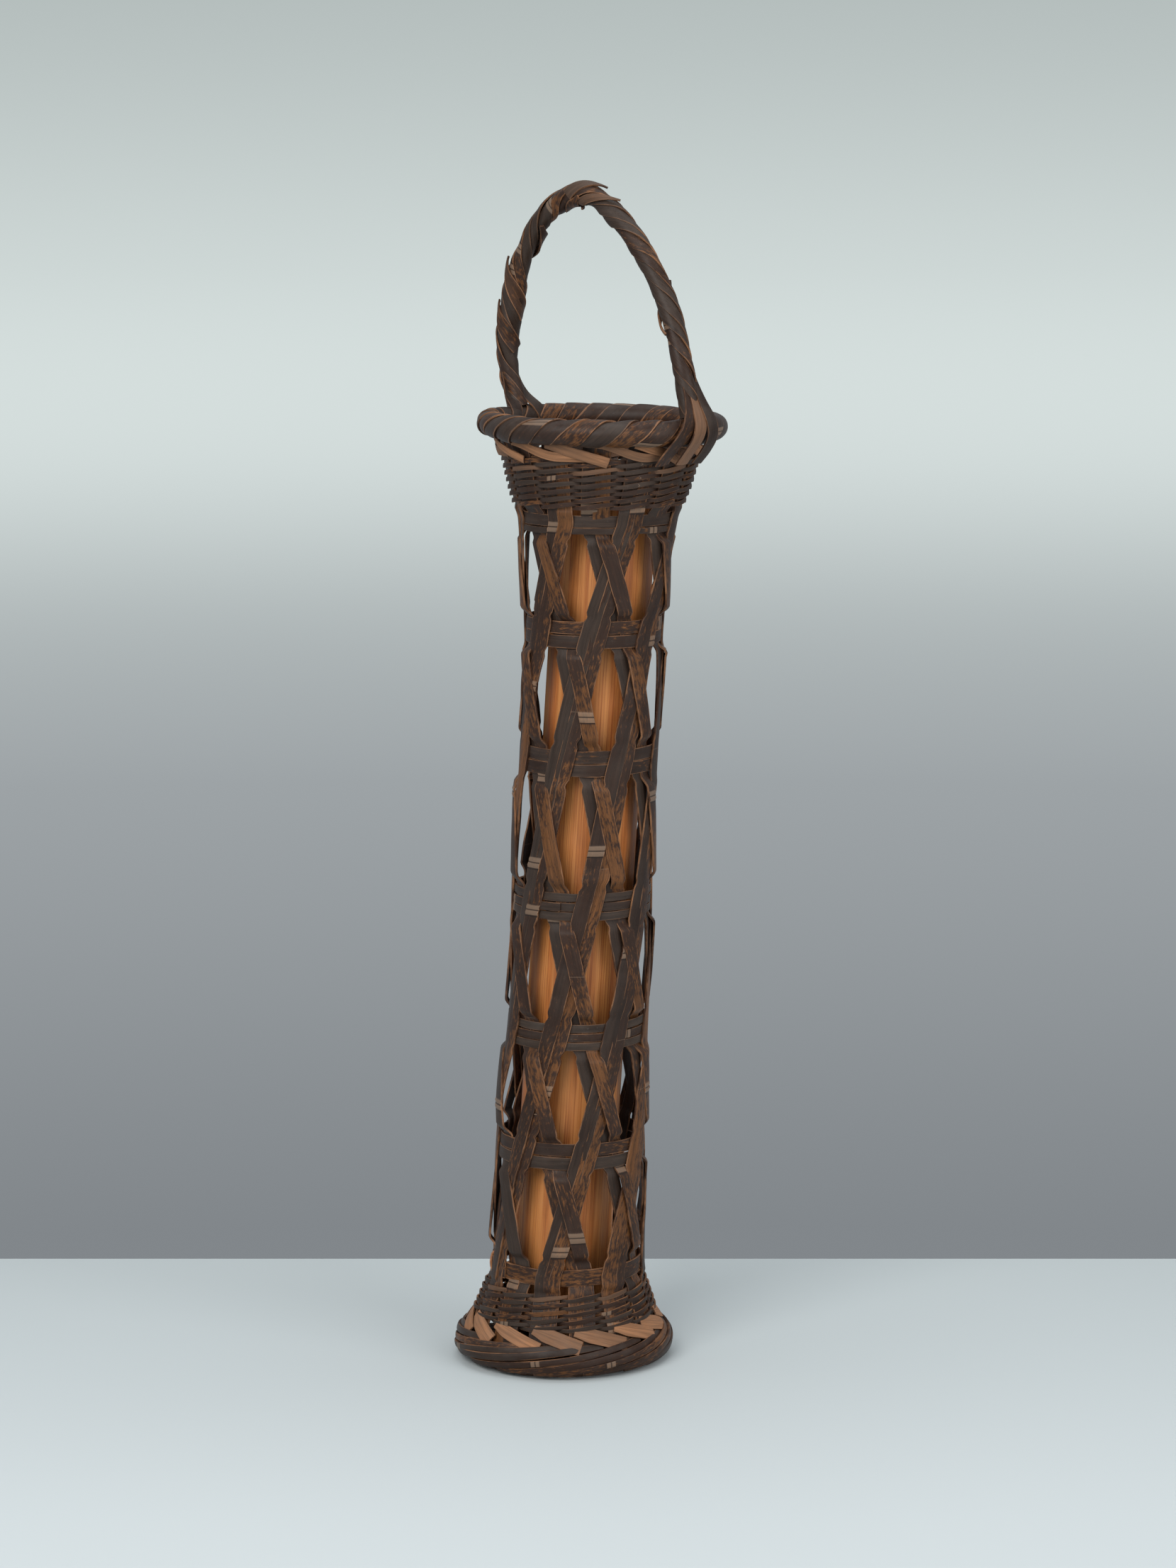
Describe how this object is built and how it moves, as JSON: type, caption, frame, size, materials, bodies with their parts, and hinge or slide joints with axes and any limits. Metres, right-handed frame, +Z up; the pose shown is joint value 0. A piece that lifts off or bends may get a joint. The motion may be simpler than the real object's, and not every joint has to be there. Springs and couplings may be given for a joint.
{
  "type": "flower basket",
  "caption": "Tall, slender flower basket of dark bamboo splints with hoops, a flared collar and foot, a fixed twisted handle and a lift-out bamboo water tube.",
  "frame": {"origin": "on the floor, under the middle of the bounding box", "axes": "+Z up along the basket; +X towards the side the basket leans to; +Y to the back, so the front faces -Y"},
  "size_m": [0.1291, 0.1158, 0.559],
  "materials": {
    "peeled_culm": "satin, fine upright grain",
    "dark_splint": "satin, smoked bamboo skin",
    "hoop_splint": "matte, weathered bamboo",
    "pale_splint": "matte, weathered bamboo",
    "weaver": "matte, weathered bamboo",
    "tan_splint": "matte, inner face of the splints",
    "rim_splint": "matte, weathered bamboo",
    "handle_splint": "matte, weathered bamboo",
    "core_bamboo": "matte, split bamboo",
    "rattan": "satin rattan"
  },
  "bodies": {
    "basket": {"border_folds": "tan_splint", "collar_row_1": "weaver", "collar_row_2": "weaver", "collar_row_3": "weaver", "collar_row_4": "weaver", "collar_row_5": "weaver", "collar_row_6": "weaver", "collar_row_7": "weaver", "floor_slats_lower": "core_bamboo", "floor_slats_upper": "core_bamboo", "foot_folds": "tan_splint", "foot_ring": "core_bamboo", "foot_sweeps": "rim_splint", "handle_core": "handle_splint", "handle_strand_1": "handle_splint", "handle_strand_2": "handle_splint", "handle_strand_3": "handle_splint", "handle_strand_4": "handle_splint", "handle_strand_5": "handle_splint", "handle_tails_front": "handle_splint", "handle_tails_rear": "handle_splint", "hoop_five_lower": "pale_splint", "hoop_five_middle": "pale_splint", "hoop_five_upper": "pale_splint", "hoop_four_lower": "hoop_splint", "hoop_four_middle": "hoop_splint", "hoop_four_upper": "hoop_splint", "hoop_one_lower": "hoop_splint", "hoop_one_upper": "hoop_splint", "hoop_seven": "hoop_splint", "hoop_six_lower": "hoop_splint", "hoop_six_upper": "hoop_splint", "hoop_three_lower": "hoop_splint", "hoop_three_upper": "hoop_splint", "hoop_tie": "rattan", "hoop_two_lower": "hoop_splint", "hoop_two_upper": "hoop_splint", "rim_core": "core_bamboo", "rim_wraps": "rim_splint", "skirt_row_1": "weaver", "skirt_row_2": "weaver", "skirt_row_3": "weaver", "skirt_row_4": "weaver", "skirt_row_5": "weaver", "stake_left_1": "dark_splint", "stake_left_2": "dark_splint", "stake_left_3": "dark_splint", "stake_left_4": "dark_splint", "stake_left_5": "dark_splint", "stake_left_6": "dark_splint", "stake_left_7": "dark_splint", "stake_right_1": "dark_splint", "stake_right_2": "dark_splint", "stake_right_3": "dark_splint", "stake_right_4": "dark_splint", "stake_right_5": "dark_splint", "stake_right_6": "dark_splint", "stake_right_7": "dark_splint"},
    "liner": {"liner_tube": "peeled_culm"}
  },
  "joints": [
    {"name": "liner_lift", "type": "slide", "parent": "basket", "child": "liner", "axis": [0.0593, 0, 0.9982], "range_m": [0, 0.08]}
  ]
}
